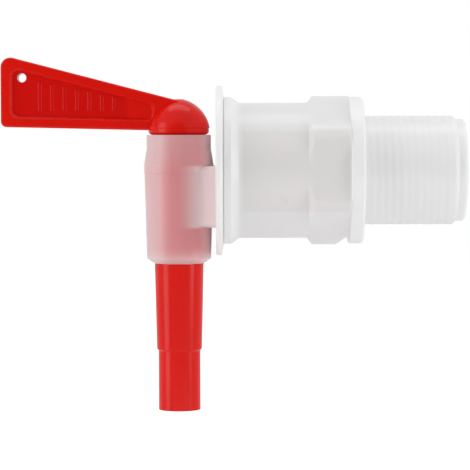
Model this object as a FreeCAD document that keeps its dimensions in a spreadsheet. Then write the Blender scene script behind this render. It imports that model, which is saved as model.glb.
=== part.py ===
# Fermenter spigot: a red lever plug turning in a translucent tap body, which is screwed into a white
# adapter with a 3/4 inch parallel thread. Millimetres. The origin is on the thread's axis at the
# adapter's sealing face, +X points into the vessel and +Z is up.

import FreeCAD, Part
import math
import os
import Sketcher
from FreeCAD import Placement, Rotation, Vector

DRIVING_DIMENSIONS = [
    ("thread_dia", 26.44, "outside diameter of the 3/4 inch parallel thread"),
    ("thread_run", 24.6, "sealing face to the tip of the threaded end"),
    ("lead_dia", 24.7, "plain lead at the tip, just over the thread's root"),
    ("lead_run", 2.0, "length of the plain lead"),
    ("lead_cone", 0.9, "length of the cone from the lead up to the thread"),
    ("tip_chamfer", 0.4, "bevel on the tip's outer edge"),
    ("adapter_bore", 19.0, "bore of the threaded end"),
    ("flange_dia", 35.6, "round flange behind the thread"),
    ("flange_thick", 3.4, "thickness of that flange"),
    ("flange_bevel", 0.5, "bevel on the flange's edge at the vessel, and round of the mouth"),
    ("flange_back_bevel", 0.15, "bevel on the flange's edge at the hexagon"),
    ("hex_flats", 33.0, "hexagon across its flats, nearly flush with the sleeve"),
    ("hex_turn_down", 1.05, "how far the hexagon's corners are turned down"),
    ("hex_run", 10.5, "length of the hexagon"),
    ("hex_bevel_run", 1.5, "length of the cone that trims the hexagon's outer end"),
    ("hex_bevel_rise", 2.2, "how far that cone trims the corners"),
    ("nick_wide", 1.0, "gap between the lowest corner and the flange, at its root"),
    ("nick_flare", 2.0, "extra width of that gap at the corner's crest"),
    ("nick_deep", 1.8, "depth of that gap below the corner's crest"),
    ("core_inset", 0.5, "round core below the hexagon's flats"),
    ("sleeve_dia", 32.8, "round sleeve round the tap's shank"),
    ("sleeve_run", 16.1, "length of the plain sleeve"),
    ("cone_run", 1.9, "length of the cone up to the mouth collar"),
    ("collar_dia", 35.6, "mouth collar"),
    ("collar_run", 1.8, "length of the mouth collar"),
    ("washer_dia", 31.4, "outside diameter of the seal washer"),
    ("washer_thick", 2.0, "thickness of the seal washer"),
    ("washer_gap", 0.15, "radial gap round the washer, outside and inside"),
    ("shank_dia", 26.3, "tap body's shank, at its thread's crests"),
    ("shank_run", 25.0, "length of the shank from the dished flange"),
    ("shank_bore", 20.0, "bore of the shank"),
    ("shank_bevel", 0.8, "bevel on the shank's end"),
    ("thread_gap", 0.08, "radial gap between shank and socket"),
    ("socket_spare", 1.6, "socket left free beyond the shank's end"),
    ("dish_dia", 41.2, "thin dished flange of the tap body"),
    ("dish_rim_wide", 3.4, "width of that flange's leaning rim, round its flat middle on the mouth"),
    ("dish_thick", 1.5, "thickness of that flange"),
    ("dish_lean", 0.45, "how far its rim leans towards the lever"),
    ("inlet_reach", 9.45, "plug's axis to the dished flange"),
    ("inlet_wide", 13.5, "width of the box-shaped inlet between barrel and flange"),
    ("inlet_top", 1.2, "inlet's top above the thread's axis"),
    ("inlet_foot", 13.7, "inlet's underside below the thread's axis"),
    ("inlet_round", 1.6, "round of the inlet's long corners"),
    ("port_dia", 7.4, "water way through the barrel's wall and the plug's side"),
    ("port_drop", 6.2, "water way's axis below the thread's axis"),
    ("barrel_top", 8.7, "barrel's upper rim above the thread's axis"),
    ("barrel_foot", 22.5, "barrel's lower rim below the thread's axis"),
    ("mouth_dia", 15.6, "barrel at its upper rim"),
    ("mouth_run", 3.4, "straight stretch below the upper rim"),
    ("belly_dia", 16.9, "barrel at its widest, beside the inlet's top"),
    ("belly_high", 1.5, "top of the widest stretch above the thread's axis"),
    ("belly_low", 0.5, "bottom of the widest stretch below the thread's axis"),
    ("belly_step", 0.1, "small step in below the widest stretch"),
    ("foot_dia", 15.6, "barrel above its lower bevel"),
    ("foot_bevel_run", 1.2, "height of the lower bevel"),
    ("foot_bevel_in", 1.7, "depth of the lower bevel"),
    ("plug_gap", 0.08, "radial running clearance of the plug in the barrel"),
    ("seat_gap", 0.1, "gap between the dome's foot and the barrel's rim"),
    ("plug_top_dia", 13.0, "tapered plug at the barrel's upper rim"),
    ("neck_dia", 11.95, "tapered plug where it leaves the barrel"),
    ("bead_dia", 0.7, "height of the snap bead, both sides together"),
    ("bead_high", 4.6, "snap bead's middle above the barrel's lower rim"),
    ("bead_half", 0.7, "half the snap bead's height along the plug"),
    ("spout_dia", 10.98, "spout just above its step"),
    ("spout_step", 43.4, "step in the spout below the thread's axis"),
    ("step_run", 0.5, "height of the step"),
    ("nozzle_dia", 10.2, "straight nozzle below the step"),
    ("nozzle_foot", 58.3, "nozzle's lower end below the thread's axis"),
    ("spout_bore", 6.8, "bore of the plug and spout"),
    ("bore_spare", 0.8, "bore above the top of the side port"),
    ("bore_cone", 1.6, "height of the cone that closes the bore"),
    ("band_dia", 14.7, "band between the dome and the barrel"),
    ("band_run", 1.45, "height of that band"),
    ("band_round", 0.5, "round on the band's lower edge"),
    ("dome_dia", 15.1, "dome at its rim"),
    ("dome_lip", 0.2, "height of the step from the band out to the dome"),
    ("dome_centre_back", 1.0, "dome arc's centre beyond the plug's axis"),
    ("dome_centre_drop", 1.53, "dome arc's centre below the dome's rim"),
    ("crown_dia", 2.0, "flat spot on top of the dome"),
    ("crown_round", 2.4, "round between that spot and the dome"),
    ("lever_reach", 43.0, "plug's axis to the lever's end"),
    ("lever_thick", 6.0, "thickness of the lever"),
    ("lever_end_top", 28.2, "upper corner of the lever's end above the thread's axis"),
    ("lever_end_low", 10.7, "lower corner of the lever's end above the thread's axis"),
    ("lever_root_top", 17.0, "lever's top edge at the plug's axis"),
    ("lever_root_low", 9.65, "lever's lower edge at the plug's axis"),
    ("lever_top_round", 2.4, "round of the upper corner"),
    ("lever_low_round", 1.4, "round of the lower corner"),
    ("lever_edge_round", 0.5, "round of the lever's long edges"),
    ("panel_border", 2.85, "lever's outline to the floor of its sunk panel"),
    ("panel_depth", 0.8, "depth of the sunk panel on each side"),
    ("panel_slope", 0.7, "width of the slope round that panel"),
    ("panel_tuck", 1.15, "how far the panel's near end reaches in past the dome's rim"),
    ("panel_round", 1.5, "round of the panel's corners"),
    ("hang_hole_dia", 2.2, "hang hole in the panel's outer corner"),
    ("hang_hole_in", 5.1, "hang hole's centre from the lever's end"),
    ("hang_hole_down", 5.6, "hang hole's centre below the end's upper corner"),
]

# A hexagon's width across flats over its width across corners.
FLATS_SHARE = 3 ** 0.5 / 2
# How far a cut runs on past the solid it cuts, and how near two places count as one.
PAST = 1
NEAR = 0.01


class Size:
    """A length worked out from the sheet, as a number and as the text of its expression."""

    def __init__(self, text, value):
        self.text = text
        self.value = value

    def __add__(self, other):
        other = as_size(other)
        return Size(f"({self.text} + {other.text})", self.value + other.value)

    def __sub__(self, other):
        other = as_size(other)
        return Size(f"({self.text} - {other.text})", self.value - other.value)

    def __mul__(self, other):
        other = as_size(other)
        return Size(f"({self.text} * {other.text})", self.value * other.value)

    def __truediv__(self, other):
        other = as_size(other)
        return Size(f"({self.text} / {other.text})", self.value / other.value)

    def __neg__(self):
        return Size(f"(-{self.text})", -self.value)


def as_size(item):
    if isinstance(item, Size):
        return item
    return Size(str(item), float(item))


def make_sheet(doc):
    sheet = doc.addObject("Spreadsheet::Sheet", "Dims")
    sizes = {}
    for row, (alias, value, note) in enumerate(DRIVING_DIMENSIONS, start=1):
        sheet.set(f"A{row}", alias)
        sheet.set(f"B{row}", str(value))
        sheet.setAlias(f"B{row}", alias)
        sheet.set(f"C{row}", note)
        sizes[alias] = Size(f"Dims.{alias}", value)
    doc.recompute()
    return sizes


def bind(item, field, size):
    item.setExpression(field, as_size(size).text)


def new_body(doc, label):
    body = doc.addObject("PartDesign::Body", "Body_" + label)
    body.Label = label
    return body


def origin_plane(body, role):
    return next(item for item in body.Origin.OriginFeatures if item.Role == role)


def new_sketch(body, name, role, lift=None):
    """A sketch on one of the body's own origin planes, lifted along the plane's normal if asked."""
    sketch = body.newObject("Sketcher::SketchObject", name)
    sketch.AttachmentSupport = [(origin_plane(body, role), "")]
    sketch.MapMode = "FlatFace"
    if lift is not None:
        bind(sketch, "AttachmentOffset.Base.z", lift)
    return sketch


def pin_coordinate(sketch, kind, geometry, end, size):
    """Holds one coordinate of a point: on the axis where it is zero, else at its size."""
    size = as_size(size)
    if size.text == "0":
        axis = -2 if kind == "DistanceX" else -1
        sketch.addConstraint(Sketcher.Constraint("PointOnObject", geometry, end, axis))
        return
    number = sketch.addConstraint(Sketcher.Constraint(kind, -1, 1, geometry, end, size.value))
    bind(sketch, f"Constraints[{number}]", size)


def pin_point(sketch, geometry, end, across, up):
    pin_coordinate(sketch, "DistanceX", geometry, end, across)
    pin_coordinate(sketch, "DistanceY", geometry, end, up)


def draw_outline(sketch, corners):
    """A closed outline of straight edges through the corners, each a pair of sizes."""
    points = [Vector(as_size(across).value, as_size(up).value, 0) for across, up in corners]
    count = len(corners)
    for index in range(count):
        sketch.addGeometry(Part.LineSegment(points[index], points[(index + 1) % count]))
    for index in range(count):
        sketch.addConstraint(Sketcher.Constraint("Coincident", index, 2, (index + 1) % count, 1))
    for index, (across, up) in enumerate(corners):
        pin_point(sketch, index, 1, across, up)


def draw_rounded_box(sketch, half, low, high, radius):
    """A rectangle from -half to half and from low to high, its corners rounded."""
    inner = half - radius
    sides = [
        ((-inner, low), (inner, low)),
        ((half, low + radius), (half, high - radius)),
        ((inner, high), (-inner, high)),
        ((-half, high - radius), (-half, low + radius)),
    ]
    centres = [(inner, low + radius), (inner, high - radius), (-inner, high - radius), (-inner, low + radius)]
    for start, end in sides:
        ends = [Vector(across.value, up.value, 0) for across, up in (start, end)]
        sketch.addGeometry(Part.LineSegment(*ends))
    for index, (across, up) in enumerate(centres):
        circle = Part.Circle(Vector(across.value, up.value, 0), Vector(0, 0, 1), radius.value)
        quarter = math.pi / 2
        sketch.addGeometry(Part.ArcOfCircle(circle, (index - 1) * quarter, index * quarter))
    count = len(sides)
    for index, (start, end) in enumerate(sides):
        arc = count + index
        sketch.addConstraint(Sketcher.Constraint("Coincident", index, 2, arc, 1))
        sketch.addConstraint(Sketcher.Constraint("Coincident", arc, 2, (index + 1) % count, 1))
        pin_point(sketch, index, 1, *start)
        pin_point(sketch, index, 2, *end)
        pin_coordinate(sketch, "DistanceX", arc, 3, centres[index][0])


def draw_circle(sketch, across, up, diameter):
    centre = Vector(as_size(across).value, as_size(up).value, 0)
    circle = sketch.addGeometry(Part.Circle(centre, Vector(0, 0, 1), diameter.value / 2))
    pin_point(sketch, circle, 3, across, up)
    number = sketch.addConstraint(Sketcher.Constraint("Diameter", circle, diameter.value))
    bind(sketch, f"Constraints[{number}]", diameter)


def spin(body, kind, name, sketch, axis):
    """A full turn of the sketch about its own H_Axis or V_Axis: a Revolution or a Groove."""
    feature = body.newObject("PartDesign::" + kind, name)
    feature.Profile = sketch
    feature.ReferenceAxis = (sketch, [axis])
    feature.Angle = 360
    sketch.Visibility = False
    return feature


def extrude(body, kind, name, sketch, length, both_ways=False, turned=False):
    feature = body.newObject("PartDesign::" + kind, name)
    feature.Profile = sketch
    feature.SideType = "Symmetric" if both_ways else "One side"
    feature.Reversed = turned
    bind(feature, "Length", length)
    sketch.Visibility = False
    return feature


def round_edges(body, name, base, radius, wanted):
    """A fillet on each edge of the base feature that passes the test."""
    body.Document.recompute()
    edges = [f"Edge{number}" for number, edge in enumerate(base.Shape.Edges, start=1) if wanted(edge)]
    fillet = body.newObject("PartDesign::Fillet", name)
    fillet.Base = (base, edges)
    bind(fillet, "Radius", radius)
    return fillet


def is_circle(edge, radius):
    return isinstance(edge.Curve, Part.Circle) and abs(edge.Curve.Radius - radius) < NEAR


def is_across(edge):
    """True for a straight edge that runs along Y."""
    return edge.BoundBox.XLength < NEAR and edge.BoundBox.ZLength < NEAR


def make_adapter(doc, size):
    body = new_body(doc, "adapter")
    flange_back = -size["flange_thick"]
    hex_end = flange_back - size["hex_run"]
    sleeve_end = hex_end - size["sleeve_run"]
    cone_end = sleeve_end - size["cone_run"]
    mouth = cone_end - size["collar_run"]
    crest = size["hex_flats"] / 2 / FLATS_SHARE - size["hex_turn_down"]
    round_adapter(body, size, hex_end, sleeve_end, cone_end, mouth)
    hexagon_block(body, size, flange_back, hex_end, crest)
    corner_nick(body, size, flange_back, crest)
    return body, mouth


def round_adapter(body, size, hex_end, sleeve_end, cone_end, mouth):
    """Everything on the adapter that was turned in the mould, and its stepped bore."""
    tip = size["thread_run"]
    lead_start = tip - size["lead_run"]
    thread_end = lead_start - size["lead_cone"]
    flange_back = -size["flange_thick"]
    core_radius = size["hex_flats"] / 2 - size["core_inset"]
    seat = mouth + size["washer_thick"]
    seat_radius = size["washer_dia"] / 2 + size["washer_gap"]
    socket_radius = size["shank_dia"] / 2 + size["thread_gap"]
    socket_end = mouth + size["shank_run"] + size["socket_spare"]
    sketch = new_sketch(body, "AdapterProfile", "XZ_Plane")
    draw_outline(sketch, [
        (tip, size["adapter_bore"] / 2),
        (tip, size["lead_dia"] / 2 - size["tip_chamfer"]),
        (tip - size["tip_chamfer"], size["lead_dia"] / 2),
        (lead_start, size["lead_dia"] / 2),
        (thread_end, size["thread_dia"] / 2),
        (0, size["thread_dia"] / 2),
        (0, size["flange_dia"] / 2 - size["flange_bevel"]),
        (-size["flange_bevel"], size["flange_dia"] / 2),
        (flange_back + size["flange_back_bevel"], size["flange_dia"] / 2),
        (flange_back, size["flange_dia"] / 2 - size["flange_back_bevel"]),
        (flange_back, core_radius),
        (hex_end, core_radius),
        (hex_end, size["sleeve_dia"] / 2),
        (sleeve_end, size["sleeve_dia"] / 2),
        (cone_end, size["collar_dia"] / 2),
        (mouth, size["collar_dia"] / 2),
        (mouth, seat_radius),
        (seat, seat_radius),
        (seat, socket_radius),
        (socket_end, socket_radius),
        (socket_end, size["adapter_bore"] / 2),
    ])
    turned = spin(body, "Revolution", "AdapterTurned", sketch, "H_Axis")
    collar_radius = (size["collar_dia"] / 2).value
    mouth_at = mouth.value
    round_edges(body, "MouthRound", turned, size["flange_bevel"],
                lambda edge: is_circle(edge, collar_radius) and abs(edge.Curve.Center.x - mouth_at) < NEAR)


def hexagon_block(body, size, flange_back, hex_end, crest):
    """The hexagon, one corner up, its corners turned down and its outer end trimmed to a cone."""
    half = size["hex_flats"] / 2
    corner = half / FLATS_SHARE
    sketch = new_sketch(body, "HexagonOutline", "YZ_Plane", flange_back)
    draw_outline(sketch, [
        (0, corner),
        (-half, corner / 2),
        (-half, -corner / 2),
        (0, -corner),
        (half, -corner / 2),
        (half, corner / 2),
    ])
    draw_circle(sketch, 0, 0, size["shank_dia"] + size["thread_gap"] * 2)
    extrude(body, "Pad", "Hexagon", sketch, size["hex_run"], turned=True)
    trim = new_sketch(body, "HexagonTrim", "XZ_Plane")
    draw_outline(trim, [
        (hex_end, crest - size["hex_bevel_rise"]),
        (hex_end + size["hex_bevel_run"], crest),
        (flange_back, crest),
        (flange_back, corner + PAST),
        (hex_end, corner + PAST),
    ])
    spin(body, "Groove", "HexagonTurned", trim, "H_Axis")


def corner_nick(body, size, flange_back, crest):
    """The gap that sets the hexagon's lowest corner off from the flange."""
    root = crest - size["nick_deep"]
    left = flange_back - size["nick_wide"] - size["nick_flare"]
    sketch = new_sketch(body, "NickOutline", "XZ_Plane")
    draw_outline(sketch, [
        (flange_back, -root),
        (flange_back, -(crest + PAST)),
        (left, -(crest + PAST)),
        (left, -crest),
        (flange_back - size["nick_wide"], -root),
    ])
    extrude(body, "Pocket", "CornerNick", sketch, crest, both_ways=True)


def make_seal_washer(doc, size, mouth):
    """A flat ring seated in the adapter's mouth, flush with its face."""
    outer = doc.addObject("Part::Cylinder", "WasherOuter")
    inner = doc.addObject("Part::Cylinder", "WasherInner")
    bind(outer, "Radius", size["washer_dia"] / 2)
    bind(inner, "Radius", size["shank_dia"] / 2 + size["washer_gap"])
    washer = doc.addObject("Part::Cut", "Washer")
    for disc in (outer, inner):
        bind(disc, "Height", size["washer_thick"])
    washer.Base = outer
    washer.Tool = inner
    washer.Label = "seal_washer"
    washer.Placement = Placement(Vector(0, 0, 0), Rotation(Vector(0, 1, 0), 90))
    bind(washer, "Placement.Base.x", mouth)
    return washer


def make_tap_body(doc, size, axis_place):
    body = new_body(doc, "tap_body")
    bind(body, "Placement.Base.x", axis_place)
    barrel(body, size)
    inlet_box(body, size)
    flange_and_shank(body, size)
    barrel_bore(body, size)
    water_way(body, size)
    return body


def barrel(body, size):
    top = size["barrel_top"]
    foot = -size["barrel_foot"]
    sketch = new_sketch(body, "BarrelProfile", "XZ_Plane")
    draw_outline(sketch, [
        (0, top),
        (size["mouth_dia"] / 2, top),
        (size["mouth_dia"] / 2, top - size["mouth_run"]),
        (size["belly_dia"] / 2, size["belly_high"]),
        (size["belly_dia"] / 2, -size["belly_low"]),
        (size["belly_dia"] / 2 - size["belly_step"], -size["belly_low"] - size["belly_step"]),
        (size["foot_dia"] / 2, foot + size["foot_bevel_run"]),
        (size["foot_dia"] / 2 - size["foot_bevel_in"], foot),
        (0, foot),
    ])
    turned = spin(body, "Revolution", "BarrelTurned", sketch, "V_Axis")
    shoulder = [top - size["mouth_run"], size["belly_high"]]
    heights = [place.value for place in shoulder]
    round_edges(body, "BarrelShoulder", turned, size["mouth_run"] / 2,
                lambda edge: isinstance(edge.Curve, Part.Circle)
                and min(abs(edge.Curve.Center.z - height) for height in heights) < NEAR)


def inlet_box(body, size):
    half = size["inlet_wide"] / 2
    sketch = new_sketch(body, "InletOutline", "YZ_Plane")
    draw_rounded_box(sketch, half, -size["inlet_foot"], size["inlet_top"], size["inlet_round"])
    extrude(body, "Pad", "InletBox", sketch, size["inlet_reach"] + size["dish_thick"] / 2)


def flange_and_shank(body, size):
    """The dished flange, whose rim leans towards the lever, and the shank behind it."""
    front = size["inlet_reach"]
    back = front + size["dish_thick"]
    rim = size["dish_dia"] / 2
    hub = rim - size["dish_rim_wide"]
    shank = size["shank_dia"] / 2
    sketch = new_sketch(body, "FlangeProfile", "XZ_Plane")
    draw_outline(sketch, [
        (front, 0),
        (front, hub),
        (front - size["dish_lean"], rim),
        (back - size["dish_lean"], rim),
        (back, hub),
        (back, shank),
        (back + size["shank_run"] - size["shank_bevel"], shank),
        (back + size["shank_run"], shank - size["shank_bevel"]),
        (back + size["shank_run"], 0),
    ])
    turned = spin(body, "Revolution", "FlangeTurned", sketch, "H_Axis")
    rim_radius = rim.value
    round_edges(body, "FlangeRim", turned, size["dish_thick"] / 3,
                lambda edge: is_circle(edge, rim_radius))


def plug_radius_at(size, height):
    """The tapered plug's radius at a height above the thread's axis."""
    full = size["barrel_top"] + size["barrel_foot"]
    spread = (size["plug_top_dia"] - size["neck_dia"]) / 2
    return size["neck_dia"] / 2 + spread * (height + size["barrel_foot"]) / full


def bead_heights(size):
    middle = size["bead_high"] - size["barrel_foot"]
    return middle - size["bead_half"], middle, middle + size["bead_half"]


def barrel_bore(body, size):
    """The tapered bore, with the groove that the plug's snap bead runs in."""
    gap = size["plug_gap"]
    low, middle, high = bead_heights(size)
    below = -size["barrel_foot"] - PAST
    above = size["barrel_top"] + PAST
    crest = plug_radius_at(size, middle) + size["bead_dia"] / 2
    sketch = new_sketch(body, "BoreProfile", "XZ_Plane")
    draw_outline(sketch, [
        (0, below),
        (plug_radius_at(size, below) + gap, below),
        (plug_radius_at(size, low) + gap, low - gap),
        (crest + gap, middle),
        (plug_radius_at(size, high) + gap, high + gap),
        (plug_radius_at(size, above) + gap, above),
        (0, above),
    ])
    spin(body, "Groove", "BarrelBore", sketch, "V_Axis")


def water_way(body, size):
    """The port from the plug to the flange, then the shank's wide bore."""
    port = new_sketch(body, "PortOutline", "YZ_Plane")
    draw_circle(port, 0, -size["port_drop"], size["port_dia"])
    extrude(body, "Pocket", "BodyPort", port, size["inlet_reach"] + size["dish_thick"], turned=True)
    back = size["inlet_reach"] + size["dish_thick"]
    bore = new_sketch(body, "ShankBoreOutline", "YZ_Plane", back)
    draw_circle(bore, 0, 0, size["shank_bore"])
    extrude(body, "Pocket", "ShankBore", bore, size["shank_run"], turned=True)


def make_lever_plug(doc, size, axis_place):
    body = new_body(doc, "lever_plug")
    bind(body, "Placement.Base.x", axis_place)
    plug_and_dome(body, size)
    lever = lever_blade(body, size)
    round_lever(body, size, lever)
    for side, name in ((-1, "Near"), (1, "Far")):
        sunk_panel(body, size, side, name)
    hang_hole(body, size)
    plug_bore(body, size)
    return body


def plug_and_dome(body, size):
    """Spout, tapered plug with its snap bead, band and dome, as one turned profile."""
    gap = size["seat_gap"]
    foot = -size["nozzle_foot"]
    step = -size["spout_step"]
    seat = size["barrel_top"] + gap
    rim = seat + size["band_run"]
    low, middle, high = bead_heights(size)
    crest = plug_radius_at(size, middle) + size["bead_dia"] / 2
    crown = size["crown_dia"] / 2
    corners = [
        (0, foot),
        (size["nozzle_dia"] / 2, foot),
        (size["nozzle_dia"] / 2, step - size["step_run"]),
        (size["spout_dia"] / 2, step),
        (size["neck_dia"] / 2, -size["barrel_foot"]),
        (plug_radius_at(size, low), low),
        (crest, middle),
        (plug_radius_at(size, high), high),
        (size["plug_top_dia"] / 2, size["barrel_top"]),
        (size["plug_top_dia"] / 2, seat),
        (size["band_dia"] / 2 - size["band_round"], seat),
        (size["band_dia"] / 2, seat + size["band_round"]),
        (size["band_dia"] / 2, rim),
        (size["dome_dia"] / 2, rim + size["dome_lip"]),
    ]
    sketch = new_sketch(body, "PlugProfile", "XZ_Plane")
    draw_domed_outline(sketch, size, corners, crown, rim + size["dome_lip"])
    turned = spin(body, "Revolution", "PlugTurned", sketch, "V_Axis")
    crown_radius = crown.value
    round_edges(body, "CrownRound", turned, size["crown_round"],
                lambda edge: is_circle(edge, crown_radius))


def draw_domed_outline(sketch, size, corners, crown, rim):
    """Straight edges up to the dome's rim, the dome's arc, a short flat crown and the axis."""
    points = [Vector(as_size(across).value, as_size(up).value, 0) for across, up in corners]
    centre = Vector(-size["dome_centre_back"].value, rim.value - size["dome_centre_drop"].value, 0)
    start = points[-1]
    reach = (start - centre).Length
    crown_across = crown.value
    crown_up = centre.y + (reach ** 2 - (crown_across - centre.x) ** 2) ** 0.5
    crown_point = Vector(crown_across, crown_up, 0)
    last = len(points) - 1
    for index in range(last):
        sketch.addGeometry(Part.LineSegment(points[index], points[index + 1]))
    circle = Part.Circle(centre, Vector(0, 0, 1), reach)
    sketch.addGeometry(Part.ArcOfCircle(circle, circle.parameter(start), circle.parameter(crown_point)))
    sketch.addGeometry(Part.LineSegment(crown_point, Vector(0, crown_up, 0)))
    sketch.addGeometry(Part.LineSegment(Vector(0, crown_up, 0), points[0]))
    arc = last
    crown_line = last + 1
    axis_line = last + 2
    for index in range(last):
        sketch.addConstraint(Sketcher.Constraint("Coincident", index, 2, index + 1, 1))
        pin_point(sketch, index, 1, *corners[index])
    pin_point(sketch, arc, 1, *corners[last])
    pin_point(sketch, arc, 3, -size["dome_centre_back"], rim - size["dome_centre_drop"])
    sketch.addConstraint(Sketcher.Constraint("Coincident", arc, 2, crown_line, 1))
    pin_coordinate(sketch, "DistanceX", crown_line, 1, crown)
    sketch.addConstraint(Sketcher.Constraint("Horizontal", crown_line))
    sketch.addConstraint(Sketcher.Constraint("Coincident", crown_line, 2, axis_line, 1))
    sketch.addConstraint(Sketcher.Constraint("Coincident", axis_line, 2, 0, 1))
    sketch.addConstraint(Sketcher.Constraint("Vertical", axis_line))


def lever_blade(body, size):
    sketch = new_sketch(body, "LeverOutline", "XZ_Plane")
    end = -size["lever_reach"]
    draw_outline(sketch, [
        (end, size["lever_end_top"]),
        (end, size["lever_end_low"]),
        (0, size["lever_root_low"]),
        (0, size["lever_root_top"]),
    ])
    return extrude(body, "Pad", "Lever", sketch, size["lever_thick"], both_ways=True)


def round_lever(body, size, lever):
    """The end's two corners first, then the long edges on both sides."""
    reach = size["lever_reach"].value
    half = (size["lever_thick"] / 2).value
    halfway = (size["lever_end_top"].value + size["lever_end_low"].value) / 2
    beyond_dome = size["dome_dia"].value / 2

    def crosses_end(edge):
        return is_across(edge) and edge.CenterOfMass.x < NEAR - reach

    top = round_edges(body, "LeverTopCorner", lever, size["lever_top_round"],
                      lambda edge: crosses_end(edge) and edge.CenterOfMass.z > halfway)
    low = round_edges(body, "LeverLowCorner", top, size["lever_low_round"],
                      lambda edge: crosses_end(edge) and edge.CenterOfMass.z < halfway)

    def on_side(edge):
        flat = edge.BoundBox.YLength < NEAR and abs(abs(edge.CenterOfMass.y) - half) < NEAR
        return flat and edge.CenterOfMass.x < -beyond_dome

    round_edges(body, "LeverEdges", low, size["lever_edge_round"], on_side)


def sunk_panel(body, size, side, name):
    """A shallow panel on one side of the lever, with an even rim round it."""
    border = size["panel_border"]
    end = -size["lever_reach"] + border
    near = size["panel_tuck"] - size["dome_dia"] / 2
    rise = (size["lever_end_top"] - size["lever_root_top"]) / size["lever_reach"]
    fall = (size["lever_root_low"] - size["lever_end_low"]) / size["lever_reach"]
    sketch = new_sketch(body, name + "PanelOutline", "XZ_Plane", size["lever_thick"] * side / -2)
    draw_outline(sketch, [
        (end, size["lever_root_top"] - end * rise - border),
        (end, size["lever_root_low"] + end * fall + border),
        (near, size["lever_root_low"] + near * fall + border),
        (near, size["lever_root_top"] - near * rise - border),
    ])
    pocket = extrude(body, "Pocket", name + "Panel", sketch, size["panel_depth"], turned=side > 0)
    half_depth = size["panel_depth"].value / 2
    wall_middle = side * (size["lever_thick"].value / 2 - half_depth)

    def crosses_panel(edge):
        return is_across(edge) and abs(edge.CenterOfMass.y - wall_middle) < NEAR

    rounded = round_edges(body, name + "PanelCorners", pocket, size["panel_round"], crosses_panel)
    slope_panel(body, size, name, rounded, side)


def slope_panel(body, size, name, rounded, side):
    """Bevels the panel's rim, so that its wall slopes down from the lever's flat side."""
    body.Document.recompute()
    face = side * size["lever_thick"].value / 2
    wall = size["panel_depth"].value

    def on_rim(edge):
        if edge.BoundBox.YLength > NEAR or abs(edge.CenterOfMass.y - face) > NEAR:
            return False
        beside = rounded.Shape.ancestorsOfType(edge, Part.Face)
        return any(abs(found.BoundBox.YLength - wall) < NEAR for found in beside)

    edges = [f"Edge{number}" for number, edge in enumerate(rounded.Shape.Edges, start=1) if on_rim(edge)]
    chamfer = body.newObject("PartDesign::Chamfer", name + "PanelSlope")
    chamfer.Base = (rounded, edges)
    bind(chamfer, "Size", size["panel_slope"])


def hang_hole(body, size):
    sketch = new_sketch(body, "HangHoleOutline", "XZ_Plane")
    across = size["hang_hole_in"] - size["lever_reach"]
    up = size["lever_end_top"] - size["hang_hole_down"]
    draw_circle(sketch, across, up, size["hang_hole_dia"])
    extrude(body, "Pocket", "HangHole", sketch, size["lever_thick"] * 2, both_ways=True)


def plug_bore(body, size):
    """The blind bore up from the nozzle, and the side port that faces the inlet when open."""
    port_top = size["port_dia"] / 2 - size["port_drop"]
    bore_top = port_top + size["bore_spare"]
    below = -size["nozzle_foot"] - PAST
    sketch = new_sketch(body, "PlugBoreProfile", "XZ_Plane")
    draw_outline(sketch, [
        (0, below),
        (size["spout_bore"] / 2, below),
        (size["spout_bore"] / 2, bore_top),
        (0, bore_top + size["bore_cone"]),
    ])
    spin(body, "Groove", "PlugBore", sketch, "V_Axis")
    port = new_sketch(body, "PlugPortOutline", "YZ_Plane")
    draw_circle(port, 0, -size["port_drop"], size["port_dia"])
    extrude(body, "Pocket", "PlugPort", port, size["plug_top_dia"], turned=True)


def check_document(doc):
    """Stops if any object failed or any cut took nothing away."""
    for item in doc.Objects:
        if "Invalid" in item.State or "Error" in item.State:
            raise RuntimeError(f"{item.Label} failed: {item.State}")
        if item.TypeId in ("PartDesign::Pocket", "PartDesign::Groove", "PartDesign::Chamfer"):
            removed = item.BaseFeature.Shape.Volume - item.Shape.Volume
            if removed < NEAR:
                raise RuntimeError(f"{item.Label} cut nothing")


def write_nodes(nodes):
    os.makedirs("parts", exist_ok=True)
    for node in nodes:
        shape = node.Shape
        if shape.isNull() or not shape.isValid() or len(shape.Solids) != 1:
            raise RuntimeError(f"{node.Label} isn't one valid solid")
        shape.exportStep(os.path.join("parts", node.Label + ".step"))
        box = shape.BoundBox
        print(f"{node.Label}: {shape.Volume / 1000:.2f} cm3, x {box.XMin:.2f} to {box.XMax:.2f}, "
              f"y {box.YMin:.2f} to {box.YMax:.2f}, z {box.ZMin:.2f} to {box.ZMax:.2f}")


def main():
    doc = FreeCAD.newDocument("fermenter_spigot")
    size = make_sheet(doc)
    adapter, mouth = make_adapter(doc, size)
    washer = make_seal_washer(doc, size, mouth)
    axis_place = mouth - size["dish_thick"] - size["inlet_reach"]
    tap_body = make_tap_body(doc, size, axis_place)
    lever_plug = make_lever_plug(doc, size, axis_place)
    doc.recompute()
    check_document(doc)
    write_nodes([lever_plug, tap_body, washer, adapter])


main()
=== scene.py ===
import math

import bmesh
import bpy
from mathutils import Matrix, Vector


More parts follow.
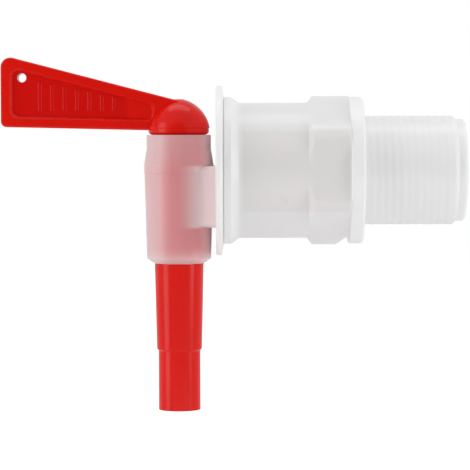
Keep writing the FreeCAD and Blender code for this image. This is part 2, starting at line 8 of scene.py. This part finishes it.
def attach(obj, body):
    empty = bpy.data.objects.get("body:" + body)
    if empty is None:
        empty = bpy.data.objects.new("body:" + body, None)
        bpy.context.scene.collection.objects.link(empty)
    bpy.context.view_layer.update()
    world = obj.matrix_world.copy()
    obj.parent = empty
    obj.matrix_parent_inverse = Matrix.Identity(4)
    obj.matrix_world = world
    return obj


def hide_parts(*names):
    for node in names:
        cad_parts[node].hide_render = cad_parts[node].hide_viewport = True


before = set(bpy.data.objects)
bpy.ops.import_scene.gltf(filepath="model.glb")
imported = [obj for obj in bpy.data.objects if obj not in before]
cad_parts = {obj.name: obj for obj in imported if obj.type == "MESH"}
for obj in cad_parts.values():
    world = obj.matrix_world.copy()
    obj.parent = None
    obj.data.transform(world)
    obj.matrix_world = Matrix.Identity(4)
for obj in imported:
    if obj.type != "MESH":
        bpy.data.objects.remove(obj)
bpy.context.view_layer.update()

mm = 0.001                      # every size below is in millimetres, the scene is in metres


def log(text):
    print("spigot:", text)


# node helpers, for shaders and for Geometry Nodes

def addNode(tree, kind, **settings):
    node = tree.nodes.new(kind)
    for name, value in settings.items():
        if name == "inputs":
            for socket, content in value.items():
                node.inputs[socket].default_value = content
        else:
            setattr(node, name, value)
    return node


def join(tree, start, end):
    tree.links.new(start, end)


# each item is another node's output or a plain value
def feed(tree, sockets, items):
    for socket, item in zip(sockets, items):
        if isinstance(item, bpy.types.NodeSocket):
            join(tree, item, socket)
        else:
            socket.default_value = item


def calc(tree, operation, *items):
    node = addNode(tree, "ShaderNodeMath", operation=operation)
    feed(tree, node.inputs, items)
    return node.outputs[0]


def product(tree, first, *others):
    for other in others:
        first = calc(tree, "MULTIPLY", first, other)
    return first


# the items are a value, the range it comes from and the range it goes to
def ramp(tree, *items, kind="LINEAR"):
    node = addNode(tree, "ShaderNodeMapRange", interpolation_type=kind)
    feed(tree, node.inputs, items)
    return node.outputs["Result"]


# a soft change from one amount to another, half its width to each side of a place
def stepAt(tree, value, place, half, before, after):
    return ramp(tree, value, (place - half) * mm, (place + half) * mm, before, after, kind="SMOOTHSTEP")


# an amount that changes along one axis, through the given (place, amount) marks
def stepsAlong(tree, value, places):
    low, high = places[0][0], places[-1][0]
    steps = addNode(tree, "ShaderNodeValToRGB")
    marks = steps.color_ramp.elements
    while len(marks) < len(places):
        marks.new(0.5)
    for mark, (spot, amount) in zip(marks, places):
        mark.position = (spot - low) / (high - low)
        mark.color = (amount, amount, amount, 1)
    join(tree, ramp(tree, value, low * mm, high * mm), steps.inputs["Fac"])
    return steps.outputs["Color"]


# a mix of two colours (RGBA) or two amounts (FLOAT)
def blended(tree, kind, factor, first, second):
    node = addNode(tree, "ShaderNodeMix", data_type=kind)
    feed(tree, [node.inputs[name] for name in ("Factor", "A", "B")], (factor, first, second))
    return node.outputs["Result"]


def vectorStep(tree, operation, *items):
    node = addNode(tree, "ShaderNodeVectorMath", operation=operation)
    feed(tree, node.inputs, items)
    return node.outputs


def partsOf(tree, place):
    node = addNode(tree, "ShaderNodeSeparateXYZ")
    join(tree, place, node.inputs[0])
    return node.outputs


# 1 for a ray that the camera sees straight or through clear plastic
def directlySeen(tree):
    rays = addNode(tree, "ShaderNodeLightPath")
    return calc(tree, "MAXIMUM", rays.outputs["Is Camera Ray"], rays.outputs["Is Transmission Ray"])


def newMaterial(name):
    material = bpy.data.materials.new(name)
    material.use_nodes = True
    tree = material.node_tree
    tree.nodes.clear()
    output = addNode(tree, "ShaderNodeOutputMaterial")
    shader = addNode(tree, "ShaderNodeBsdfPrincipled")
    join(tree, shader.outputs["BSDF"], output.inputs["Surface"])
    return material, tree, shader


# tones that change over a piece, each laid over the colour so far: painted shade, painted light and the
# plug's red seen through the wall

# painted shade: the lever's sunk panels are painted a deeper red than its rim
def sunkTone(tree, place, colour, look):
    across, deep, _ = partsOf(tree, place)
    sunk = stepAt(tree, calc(tree, "ABSOLUTE", deep), look["sunk"], look["sunkEdge"], 1, 0)
    lever = stepAt(tree, across, look["leverEnd"], look["leverEdge"], 1, 0)
    return blended(tree, "RGBA", product(tree, sunk, lever), colour, (*look["sunkTone"], 1))


# painted light and shade: parts with slim walls are painted paler, for the light that passes through them,
# and a band round the socket is painted deeper, as painted shade
def paintedWallLightAndShade(tree, place, colour, look):
    across, _, height = partsOf(tree, place)
    level = stepAt(tree, calc(tree, "ABSOLUTE", height), look["socket"], look["socketEdge"], 1, 0)
    paintedShade = product(tree, stepsAlong(tree, across, look["paintedShadeParts"]), level)
    colour = blended(tree, "RGBA", paintedShade, colour, (*look["paintedShade"], 1))
    return blended(tree, "RGBA", stepsAlong(tree, across, look["thinParts"]), colour, (*look["thin"], 1))


# 1 on the barrel, by the distance from the plug's axis, and 0 on the flange and the shank
def nearPlug(tree, place, look):
    away = vectorStep(tree, "SUBTRACT", place, (look["axis"] * mm, 0, 0))
    level = vectorStep(tree, "MULTIPLY", away[0], (1, 1, 0))
    reach = vectorStep(tree, "LENGTH", level[0])["Value"]
    return ramp(tree, reach, look["glowFull"] * mm, look["glowGone"] * mm, 1, 0, kind="SMOOTHSTEP")


# the red plug seen through the barrel's wall, painted into its colour as a rosy tint that fades at the sides,
# the lip and the rim, with painted light on the left, where the left lamp shines through the wall, and
# amounts of its own along the inlet
def glowTone(tree, place, near, colour, look):
    across, _, height = partsOf(tree, place)
    lip = ramp(tree, height, look["lip"] * mm, look["lipFull"] * mm, look["lipGlow"], 1, kind="SMOOTHSTEP")
    top = ramp(tree, height, look["topFull"] * mm, look["rim"] * mm, 1, look["topGlow"], kind="SMOOTHSTEP")
    barrel = product(tree, near, lip, top, stepsAlong(tree, across, look["paintedSideLight"]))
    inletTop = stepAt(tree, height, look["inletTop"], look["inletEdge"], 1, 0)
    inletFoot = stepAt(tree, height, look["inletFoot"], look["inletEdge"], 0, 1)
    inlet = stepsAlong(tree, across, look["inletPlaces"])
    amount = blended(tree, "FLOAT", product(tree, inletTop, inletFoot), barrel, inlet)
    return blended(tree, "RGBA", amount, colour, (*look["glow"], 1))


# moulded plastic: cloudy colour, uneven gloss and a fine skin, all on Object coordinates

grain = {
    "cloud": (3, 0.55),         # detail and roughness of the noise
    "cloudSpread": (0.3, 0.7),  # part of the noise that goes from the deep to the pale colour
    "gloss": (4, 0.6),
    "glossSpread": (0.25, 0.75),
    "skin": (2, 0.5),
}


def noise(tree, place, scale, detail, roughness):
    node = addNode(tree, "ShaderNodeTexNoise",
                   inputs={"Scale": scale, "Detail": detail, "Roughness": roughness})
    join(tree, place, node.inputs["Vector"])
    return node.outputs["Fac"]


def mouldedPlastic(name, look):
    material, tree, shader = newMaterial(name)
    shader.inputs["IOR"].default_value = look["ior"]
    shader.inputs["Specular IOR Level"].default_value = look["specular"]
    shader.inputs["Transmission Weight"].default_value = look.get("transmission", 0)
    shader.inputs["Subsurface Weight"].default_value = look.get("subsurface", 0)
    shader.inputs["Subsurface Radius"].default_value = look.get("scatter", (1, 1, 1))
    shader.inputs["Subsurface Scale"].default_value = look.get("scatterScale", 1) * mm
    place = addNode(tree, "ShaderNodeTexCoord").outputs["Object"]

    cloud = noise(tree, place, look["cloudScale"], *grain["cloud"])
    spread = ramp(tree, cloud, *grain["cloudSpread"])
    colour = blended(tree, "RGBA", spread, (*look["deep"], 1), (*look["pale"], 1))
    if "sunk" in look:
        colour = sunkTone(tree, place, colour, look)
    if "thinParts" in look:
        colour = paintedWallLightAndShade(tree, place, colour, look)
    if "glow" in look:
        near = nearPlug(tree, place, look)
        colour = glowTone(tree, place, near, colour, look)
        join(tree, calc(tree, "MULTIPLY", near, look["transmission"]), shader.inputs["Transmission Weight"])
    join(tree, colour, shader.inputs["Base Color"])

    gloss = noise(tree, place, look["glossScale"], *grain["gloss"])
    join(tree, ramp(tree, gloss, *grain["glossSpread"], *look["roughness"]), shader.inputs["Roughness"])
    bump = addNode(tree, "ShaderNodeBump",
                   inputs={"Strength": look["skinStrength"], "Distance": look["skinDepth"] * mm})
    join(tree, noise(tree, place, look["skinScale"], *grain["skin"]), bump.inputs["Height"])
    join(tree, bump.outputs["Normal"], shader.inputs["Normal"])
    return material


redLook = {
    "deep": (0.74, 0.0046, 0.0008),
    "pale": (0.79, 0.0068, 0.0015),
    "cloudScale": 60,
    # painted shade: the deeper red of the sunk panels
    "sunkTone": (0.68, 0.0026, 0.0005),
    "sunk": 2.6,                # from the lever's middle, between the panels' floor and the rim
    "sunkEdge": 0.15,
    "leverEnd": -57,
    "leverEdge": 1,
    "roughness": (0.14, 0.22),
    "glossScale": 220,
    "skinScale": 900,
    "skinStrength": 0.12,
    "skinDepth": 0.05,
    "ior": 1.46,
    "specular": 0.28,
}

whiteLook = {
    "deep": (0.838, 0.838, 0.842),
    "pale": (0.858, 0.858, 0.862),
    "cloudScale": 45,
    # painted shade: the deeper colour of the band round the socket
    "paintedShade": (0.822, 0.802, 0.794),
    "socket": 9.6,              # half the height of that band of painted shade, from the thread's axis
    "socketEdge": 0.35,
    "paintedShadeParts": [(-29.6, 0.0), (-28.8, 1.0), (-4.1, 1.0), (-3.5, 0.0)],
    # painted light: the paler colour of the parts with slim walls
    "thin": (0.975, 0.975, 0.985),
    "thinParts": [
        (-33.7, 0.75), (-31.0, 0.5), (-29.0, 0.0), (-3.7, 0.0), (-3.1, 0.7), (-0.4, 0.7), (0.4, 0.35),
        (20.0, 0.35), (22.6, 0.55), (24.6, 0.55),
    ],
    "roughness": (0.27, 0.31),
    "glossScale": 180,
    "skinScale": 700,
    "skinStrength": 0.08,
    "skinDepth": 0.05,
    "ior": 1.49,
    "specular": 0.45,
    "subsurface": 0.4,
    "scatter": (1.0, 0.95, 0.9),
    "scatterScale": 1.6,
}

frostedLook = {
    "deep": (0.925, 0.92, 0.92),
    "pale": (0.955, 0.95, 0.95),
    "cloudScale": 80,
    # the plug's red seen through the wall, painted into the colour
    "glow": (0.84, 0.330, 0.345),
    "axis": -44.65,             # the plug's axis
    "glowFull": 8.55,           # distances from it
    "glowGone": 9.6,
    "lip": -22.5,               # heights: the barrel's lower edge and upward
    "lipFull": -18.5,
    "lipGlow": 0.6,
    "topFull": -4.0,
    "topGlow": 0.85,
    "rim": 8.7,
    # painted light: less of the rosy tint at the sides, paler on the left where the left lamp shines through
    # the wall
    "paintedSideLight": [(-53.0, 0.56), (-50.6, 0.6), (-48.6, 0.84), (-46.2, 1.0), (-39.8, 1.0), (-37.4, 0.62)],
    "inletTop": 1.2,
    "inletFoot": -13.7,
    "inletEdge": 0.5,
    # amounts of the rosy tint along the inlet, with the same painted light on the left
    "inletPlaces": [
        (-53.0, 0.56), (-50.6, 0.6), (-48.6, 0.84), (-46.2, 1.0), (-44.4, 0.97), (-42.4, 0.76), (-40.0, 0.34),
        (-39.6, 0.36), (-38.0, 0.34), (-36.6, 0.28), (-35.3, 0.22), (-35.1, 0.0),
    ],
    "roughness": (0.26, 0.36),
    "glossScale": 200,
    "skinScale": 800,
    "skinStrength": 0.12,
    "skinDepth": 0.05,
    "ior": 1.47,
    "specular": 0.5,
    "transmission": 0.12,       # on the barrel alone
    "subsurface": 0.4,
    "scatterScale": 2.0,
}

sealLook = {
    "deep": (0.76, 0.76, 0.74),
    "pale": (0.84, 0.84, 0.82),
    "cloudScale": 120,
    "roughness": (0.55, 0.7),
    "glossScale": 400,
    "skinScale": 1500,
    "skinStrength": 0.2,
    "skinDepth": 0.03,
    "ior": 1.41,
    "specular": 0.4,
}

redPlastic = mouldedPlastic("glossyRedPlastic", redLook)
whitePlastic = mouldedPlastic("milkyWhitePlastic", whiteLook)
frostedPlastic = mouldedPlastic("frostedPlastic", frostedLook)
sealRubber = mouldedPlastic("paleSealRubber", sealLook)
log("materials made")


# object and mesh helpers

def linkObject(name, data):
    item = bpy.data.objects.new(name, data)
    bpy.context.scene.collection.objects.link(item)
    return item


# smooth over curved walls, crisp over real edges
def softShade(item, angle=32):
    item.data.polygons.foreach_set("use_smooth", [True] * len(item.data.polygons))
    item.data.set_sharp_from_angle(angle=math.radians(angle))


def dress(item, material):
    item.data.materials.clear()
    item.data.materials.append(material)


# a Geometry Nodes tree with an input for each size and one for the material
def newTree(name, sizes):
    tree = bpy.data.node_groups.new(name, "GeometryNodeTree")
    tree.interface.new_socket(name="Geometry", in_out="OUTPUT", socket_type="NodeSocketGeometry")
    for item, value in sizes.items():
        kind = "NodeSocketInt" if isinstance(value, int) else "NodeSocketFloat"
        tree.interface.new_socket(name=item, in_out="INPUT", socket_type=kind)
    tree.interface.new_socket(name="material", in_out="INPUT", socket_type="NodeSocketMaterial")
    return tree, addNode(tree, "NodeGroupInput").outputs


def finishTree(tree, given, geometry):
    real = addNode(tree, "GeometryNodeRealizeInstances")
    join(tree, geometry, real.inputs["Geometry"])
    painted = addNode(tree, "GeometryNodeSetMaterial")
    join(tree, real.outputs["Geometry"], painted.inputs["Geometry"])
    join(tree, given["material"], painted.inputs["Material"])
    join(tree, painted.outputs["Geometry"], addNode(tree, "NodeGroupOutput").inputs[0])


# runs a tree on an empty mesh and returns what it makes as a plain mesh
def grown(name, tree, values):
    carrier = linkObject(name + "Carrier", bpy.data.meshes.new(name + "Carrier"))
    modifier = carrier.modifiers.new(name, "NODES")
    modifier.node_group = tree
    for item in tree.interface.items_tree:
        if item.item_type == "SOCKET" and item.in_out == "INPUT":
            modifier[item.identifier] = values[item.name]
    bpy.context.view_layer.update()
    evaluated = carrier.evaluated_get(bpy.context.evaluated_depsgraph_get())
    mesh = bpy.data.meshes.new_from_object(evaluated)
    carrier.modifiers.clear()
    bpy.data.objects.remove(carrier)
    return mesh


# the adapter: one closed skin, turned from a rounded profile, with flats on its hexagon

adapterSizes = {
    "around": 360,
    "collarRadius": 17.8,
    "mouth": -33.7,
    "collarEnd": -31.9,
    "sleeveStart": -30.0,
    "sleeveRadius": 16.4,
    "hexStart": -13.9,
    "hexCrest": 18.0,
    "hexFlats": 32.8,
    "hexBevelRun": 1.5,
    "hexBevelRise": 2.2,
    "edgeBlend": 0.5,           # how softly a flat meets the turned crest
    "nickRoot": 16.2,
    "nickWide": 1.0,
    "nickFlare": 2.0,
    "crestSteps": 14,
    "flangeBack": -3.4,
    "flangeRadius": 17.8,
    "flangeBevel": 0.5,
    "flangeBackBevel": 0.15,
    "threadFoot": 0.2,          # flat ring that is left between the flange's face and the thread
    "socketRadius": 13.23,
    "socketEnd": -7.1,
    "seatRadius": 15.85,
    "seat": -31.7,
    "bore": 9.5,
    "boreBevel": 0.35,
    "tipFace": 0.15,
    "roundSteps": 5,
}

rounds = {
    "seat": 0.1,
    "mouthInside": 0.2,
    "mouthOutside": 0.25,
    "collar": 0.5,
    "sleeve": 0.8,
    "hexFoot": 0.6,
    "hexTop": 0.45,
    "flangeBack": 0.1,
    "flangeRim": 0.35,
    "flangeFace": 0.2,
    "tip": 0.1,
    "socket": 0.2,
}

threadSizes = {
    "crest": 13.22,
    "pitch": 1.814,
    "grooveDepth": 0.1,
    "start": 0.0,
    "threadEnd": 21.7,
    "coneEnd": 22.6,
    "leadRadius": 12.35,
    "tip": 24.6,
    "tipBevel": 0.4,
    "fadeFrom": 0.15,
    "fade": 1.2,
    "fadeLeft": 0.35,           # share of the groove's depth that is left at the lead-in cone
}
threadRings = 150

tiny = {"threadWeld": 0.0005, "weld": 0.002, "gap": 0.001, "angle": 0.001}


def threadTree(sizes, rings, around):
    tree, size = newTree("woundThread", sizes)
    grid = addNode(tree, "GeometryNodeMeshGrid",
                   inputs={"Size X": 1, "Size Y": 1, "Vertices X": rings, "Vertices Y": around + 1})
    along, about, _ = partsOf(tree, addNode(tree, "GeometryNodeInputPosition").outputs[0])
    run = ramp(tree, along, -0.5, 0.5, size["start"], size["tip"])
    turn = ramp(tree, about, -0.5, 0.5, 0.0, 1.0)

    # the groove's depth along the helix, faded out at both ends of the thread
    phase = calc(tree, "SUBTRACT", calc(tree, "DIVIDE", run, size["pitch"]), turn)
    wave = calc(tree, "COSINE", product(tree, phase, 2 * math.pi))
    groove = product(tree, calc(tree, "ADD", wave, 1), 0.5)
    fadeIn = ramp(tree, run, size["fadeFrom"], size["fade"], 0.0, 1.0)
    fadeStart = calc(tree, "SUBTRACT", size["threadEnd"], size["fade"])
    fadeOut = ramp(tree, run, fadeStart, size["threadEnd"], 1.0, size["fadeLeft"])
    onLead = ramp(tree, run, size["threadEnd"], size["coneEnd"], 1.0, 0.0)
    cut = product(tree, groove, product(tree, fadeIn, fadeOut, onLead), size["grooveDepth"])
    cone = ramp(tree, run, size["threadEnd"], size["coneEnd"], size["crest"], size["leadRadius"])
    bevelStart = calc(tree, "SUBTRACT", size["tip"], size["tipBevel"])
    bevel = ramp(tree, run, bevelStart, size["tip"], 0.0, size["tipBevel"])
    radius = calc(tree, "SUBTRACT", calc(tree, "SUBTRACT", cone, cut), bevel)

    angle = product(tree, turn, 2 * math.pi)
    wound = addNode(tree, "ShaderNodeCombineXYZ")
    feed(tree, wound.inputs, (run, product(tree, radius, calc(tree, "COSINE", angle)),
                              product(tree, radius, calc(tree, "SINE", angle))))
    scaled = addNode(tree, "ShaderNodeVectorMath", operation="SCALE", inputs={"Scale": mm})
    join(tree, wound.outputs[0], scaled.inputs[0])
    moved = addNode(tree, "GeometryNodeSetPosition")
    join(tree, grid.outputs["Mesh"], moved.inputs["Geometry"])
    join(tree, scaled.outputs[0], moved.inputs["Position"])
    merged = addNode(tree, "GeometryNodeMergeByDistance", inputs={"Distance": tiny["threadWeld"] * mm})
    join(tree, moved.outputs["Geometry"], merged.inputs["Geometry"])
    finishTree(tree, size, merged.outputs["Geometry"])
    return tree


# the corners of an outline, each (along, out, round), as points with the rounds drawn
def roundedPath(corners, steps):
    path = []
    for index, (along, out, radius) in enumerate(corners):
        here = Vector((along, out))
        if radius == 0:
            path.append(here)
            continue
        before = Vector(corners[index - 1][:2]) - here
        after = Vector(corners[index + 1][:2]) - here
        reach = radius / math.tan(before.angle(after) / 2)
        start = here + before.normalized() * reach
        end = here + after.normalized() * reach
        for step in range(steps + 1):
            share = step / steps
            path.append(start.lerp(here, share).lerp(here.lerp(end, share), share))
    return path


def softMin(first, second, blend):
    share = min(max(0.5 + 0.5 * (second - first) / blend, 0), 1)
    return second + (first - second) * share - blend * share * (1 - share)


# the hexagon's flats, and the nick behind its lowest corner
def hexagonRadius(along, out, angle, sizes):
    sixth = math.pi / 3
    fromFlat = (angle + sixth / 2) % sixth - sixth / 2
    flat = softMin(out, sizes["hexFlats"] / 2 / math.cos(fromFlat), sizes["edgeBlend"])
    out = max(flat, sizes["sleeveRadius"])
    fromBottom = angle - 1.5 * math.pi
    behind = sizes["flangeBack"] - along - sizes["nickWide"]
    if abs(fromBottom) < sixth and behind < sizes["nickFlare"]:
        rise = (sizes["hexCrest"] - sizes["nickRoot"]) * max(behind, 0) / sizes["nickFlare"]
        out = softMin(out, (sizes["nickRoot"] + rise) / math.cos(fromBottom), sizes["edgeBlend"])
    return out


def turnedRing(form, along, out, sizes):
    verts = []
    onHexagon = sizes["hexStart"] < along <= sizes["flangeBack"] and out > sizes["sleeveRadius"]
    onFlange = along > sizes["flangeBack"] - tiny["gap"] and out < sizes["flangeRadius"]
    for index in range(sizes["around"]):
        angle = 2 * math.pi * index / sizes["around"]
        radius = hexagonRadius(along, out, angle, sizes) if onHexagon and not onFlange else out
        place = Vector((along, radius * math.cos(angle), radius * math.sin(angle))) * mm
        verts.append(form.verts.new(place))
    return verts


# faces between each ring and the next
def stitch(form, rings):
    for first, second in zip(rings, rings[1:]):
        count = len(first)
        for index in range(count):
            after = (index + 1) % count
            form.faces.new((first[index], first[after], second[after], second[index]))


def outsidePath(sizes):
    coneStart = sizes["hexStart"] + sizes["hexBevelRun"] * (
        1 - (sizes["hexCrest"] - sizes["sleeveRadius"]) / sizes["hexBevelRise"])
    coneEnd = sizes["hexStart"] + sizes["hexBevelRun"]
    nickStart = sizes["flangeBack"] - sizes["nickWide"] - sizes["nickFlare"]
    bevel, backBevel = sizes["flangeBevel"], sizes["flangeBackBevel"]
    crest = []
    for step in range(sizes["crestSteps"] + 1):
        share = step / sizes["crestSteps"]
        crest.append((nickStart + (sizes["flangeBack"] - nickStart) * share, sizes["hexCrest"], 0))
    return [
        (sizes["seat"], sizes["socketRadius"], 0),
        (sizes["seat"], sizes["seatRadius"], rounds["seat"]),
        (sizes["mouth"], sizes["seatRadius"], rounds["mouthInside"]),
        (sizes["mouth"], sizes["collarRadius"], rounds["mouthOutside"]),
        (sizes["collarEnd"], sizes["collarRadius"], rounds["collar"]),
        (sizes["sleeveStart"], sizes["sleeveRadius"], rounds["sleeve"]),
        (coneStart, sizes["sleeveRadius"], rounds["hexFoot"]),
        (coneEnd, sizes["hexCrest"], rounds["hexTop"]),
        *crest,
        (sizes["flangeBack"], sizes["flangeRadius"] - backBevel, 0),
        (sizes["flangeBack"] + backBevel, sizes["flangeRadius"], rounds["flangeBack"]),
        (-bevel, sizes["flangeRadius"], rounds["flangeRim"]),
        (0, sizes["flangeRadius"] - bevel, rounds["flangeFace"]),
        (0, threadSizes["crest"] + sizes["threadFoot"], 0),
    ]


def insidePath(sizes):
    tip = threadSizes["tip"]
    return [
        (tip, threadSizes["leadRadius"] - threadSizes["tipBevel"] - sizes["tipFace"], 0),
        (tip, sizes["bore"] + sizes["boreBevel"], rounds["tip"]),
        (tip - sizes["boreBevel"], sizes["bore"], rounds["tip"]),
        (sizes["socketEnd"], sizes["bore"], rounds["socket"]),
        (sizes["socketEnd"], sizes["socketRadius"], rounds["socket"]),
        (sizes["seat"] - tiny["gap"], sizes["socketRadius"], 0),
    ]


def buildAdapter(sizes):
    tree = threadTree(threadSizes, threadRings, sizes["around"])
    mesh = grown("adapterSkin", tree, {**threadSizes, "material": whitePlastic})
    form = bmesh.new()
    form.from_mesh(mesh)

    def openRing(along):
        found = [v for v in form.verts if v.is_boundary and abs(v.co.x - along * mm) < tiny["gap"] * mm]
        return sorted(found, key=lambda v: (math.atan2(v.co.z, v.co.y) + tiny["angle"]) % (2 * math.pi))

    def turned(path):
        return [turnedRing(form, *spot, sizes) for spot in roundedPath(path, sizes["roundSteps"])]

    tipRing = openRing(threadSizes["tip"])
    rootRing = openRing(threadSizes["start"])
    outside = turned(outsidePath(sizes))
    inside = turned(insidePath(sizes))
    stitch(form, [*outside, rootRing])
    stitch(form, [tipRing, *inside, outside[0]])
    bmesh.ops.remove_doubles(form, verts=form.verts, dist=tiny["weld"] * mm)
    bmesh.ops.recalc_face_normals(form, faces=form.faces)
    openEdges = sum(edge.is_boundary for edge in form.edges)
    form.to_mesh(mesh)
    form.free()
    item = linkObject("adapterSkin", mesh)
    softShade(item)
    dress(item, whitePlastic)
    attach(item, "body")
    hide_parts("adapter")
    log(f"adapter turned: {len(mesh.polygons)} faces, {openEdges} open edges")


buildAdapter(adapterSizes)


# plain raised grip ribs on both of the lever's sunk panels

ribSizes = {
    "count": 7,
    "first": -78.2,             # along the lever, from its outer end
    "pitch": 3.0,
    "foot": 14.6,
    "height": 6.8,
    "fall": 0.57,               # how much shorter each next rib is
    "floor": 2.2,               # the panel's floor from the lever's middle
    "half": 0.5,
    "relief": 0.2,
}
ribSides = 20


def ribTree(sizes):
    tree, size = newTree("gripRibs", sizes)

    def vector(*items):
        node = addNode(tree, "ShaderNodeCombineXYZ")
        feed(tree, node.inputs, items)
        return node.outputs[0]

    spine = addNode(tree, "GeometryNodeCurvePrimitiveLine", inputs={"Start": (0, 0, 0), "End": (0, 0, 1)})
    outline = addNode(tree, "GeometryNodeCurvePrimitiveCircle", inputs={"Resolution": ribSides, "Radius": 1})
    rib = addNode(tree, "GeometryNodeCurveToMesh", inputs={"Fill Caps": True})
    join(tree, spine.outputs["Curve"], rib.inputs["Curve"])
    join(tree, outline.outputs["Curve"], rib.inputs["Profile Curve"])

    number = addNode(tree, "GeometryNodeInputIndex").outputs[0]
    height = calc(tree, "SUBTRACT", size["height"], product(tree, number, size["fall"]))
    sides = addNode(tree, "GeometryNodeJoinGeometry")
    for side in (-1, 1):
        row = addNode(tree, "GeometryNodeMeshLine")
        join(tree, size["count"], row.inputs["Count"])
        join(tree, vector(size["first"], product(tree, size["floor"], side), size["foot"]),
             row.inputs["Start Location"])
        join(tree, vector(size["pitch"], 0, 0), row.inputs["Offset"])
        placed = addNode(tree, "GeometryNodeInstanceOnPoints")
        join(tree, row.outputs["Mesh"], placed.inputs["Points"])
        join(tree, rib.outputs["Mesh"], placed.inputs["Instance"])
        join(tree, vector(size["half"], size["relief"], height), placed.inputs["Scale"])
        join(tree, placed.outputs["Instances"], sides.inputs["Geometry"])
    scaled = addNode(tree, "GeometryNodeTransform", inputs={"Scale": (mm, mm, mm)})
    join(tree, sides.outputs["Geometry"], scaled.inputs["Geometry"])
    finishTree(tree, size, scaled.outputs["Geometry"])
    return tree


def buildRibs(sizes):
    mesh = grown("leverRibs", ribTree(sizes), {**sizes, "material": redPlastic})
    item = linkObject("leverRibs", mesh)
    softShade(item, 50)
    dress(item, redPlastic)
    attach(item, "plug")
    log(f"grip ribs: {len(mesh.polygons)} faces")


buildRibs(ribSizes)

for node, material in (("tap_body", frostedPlastic), ("lever_plug", redPlastic), ("seal_washer", sealRubber)):
    dress(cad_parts[node], material)


# camera at the photograph's viewpoint

cameraPlace = {
    "aim": (-31.03, 0, -15.72),
    "distance": 536,
    "pitch": 2.7,
    "roll": 0.15,
    "lens": 168.4,
    "sensor": 36,
    "clip": (10, 20000),
}


def placeCamera(sizes):
    data = bpy.data.cameras.new("productCamera")
    data.sensor_width = sizes["sensor"]
    data.lens = sizes["lens"]
    data.clip_start, data.clip_end = (reach * mm for reach in sizes["clip"])
    camera = linkObject("productCamera", data)
    pitch = math.radians(sizes["pitch"])
    back = Vector((0, -math.cos(pitch), math.sin(pitch)))
    camera.location = (Vector(sizes["aim"]) + back * sizes["distance"]) * mm
    roll = Matrix.Rotation(math.radians(-sizes["roll"]), 3, "Z").to_quaternion()
    camera.rotation_mode = "QUATERNION"
    camera.rotation_quaternion = back.to_track_quat("Z", "Y") @ roll
    bpy.context.scene.camera = camera


placeCamera(cameraPlace)


# light tent: white all round, dim on the camera's side, with four soft lamps over a pale floor

tent = {
    "sides": 0.74,
    "front": 0.18,
    "frontWide": 0.66,          # cosines of the angles from the camera's side where it starts to dim
    "frontNarrow": 0.90,        # and is dimmest
    "floorHeight": -112,
    "floorHalf": 1500,
    "floorTone": 0.82,
    "floorRoughness": 0.9,
    "floorGlow": 0.6,
}

softLamps = {
    "topLamp": {"place": (-30, 50, 420), "aim": (-30, 0, 0), "size": (420, 170), "power": 0.38},
    "leftLamp": {"place": (-420, -170, 40), "aim": (-30, 0, -10), "size": (190, 380), "power": 0.5},
    "rightLamp": {"place": (380, -200, 60), "aim": (-30, 0, -10), "size": (150, 300), "power": 0.42},
    "lowLamp": {"place": (-10, -170, -105), "aim": (-10, 0, -10), "size": (300, 50), "power": 0.05},
}


def makeWorld(look):
    world = bpy.data.worlds.new("lightTent")
    bpy.context.scene.world = world
    world.use_nodes = True
    tree = world.node_tree
    tree.nodes.clear()
    output = addNode(tree, "ShaderNodeOutputWorld")
    place = addNode(tree, "ShaderNodeTexCoord").outputs["Generated"]
    facing = vectorStep(tree, "DOT_PRODUCT", place, (0, -1, 0))["Value"]
    front = ramp(tree, facing, look["frontWide"], look["frontNarrow"], look["sides"], look["front"],
                 kind="SMOOTHSTEP")
    background = addNode(tree, "ShaderNodeBackground", inputs={"Color": (1, 1, 1, 1)})
    join(tree, blended(tree, "FLOAT", directlySeen(tree), front, 1), background.inputs["Strength"])
    join(tree, background.outputs[0], output.inputs["Surface"])


def makeFloor(look):
    form = bmesh.new()
    half = look["floorHalf"] * mm
    corners = [(-half, -half), (half, -half), (half, half), (-half, half)]
    form.faces.new([form.verts.new((x, y, look["floorHeight"] * mm)) for x, y in corners])
    mesh = bpy.data.meshes.new("paleFloor")
    form.to_mesh(mesh)
    form.free()
    floor = linkObject("paleFloor", mesh)
    material, tree, shader = newMaterial("paleFloor")
    shader.inputs["Base Color"].default_value = (*[look["floorTone"]] * 3, 1)
    shader.inputs["Roughness"].default_value = look["floorRoughness"]
    shader.inputs["Emission Color"].default_value = (1, 1, 1, 1)
    join(tree, product(tree, directlySeen(tree), look["floorGlow"]), shader.inputs["Emission Strength"])
    dress(floor, material)


def softLamp(name, look):
    data = bpy.data.lights.new(name, "AREA")
    data.shape = "RECTANGLE"
    data.size, data.size_y = (side * mm for side in look["size"])
    data.energy = look["power"]
    lamp = linkObject(name, data)
    place = Vector(look["place"])
    lamp.location = place * mm
    lamp.rotation_mode = "QUATERNION"
    lamp.rotation_quaternion = (place - Vector(look["aim"])).to_track_quat("Z", "Y")


makeWorld(tent)
makeFloor(tent)
for lampName, lampLook in softLamps.items():
    softLamp(lampName, lampLook)
bpy.context.scene.view_settings.view_transform = "Standard"
log("stage made")
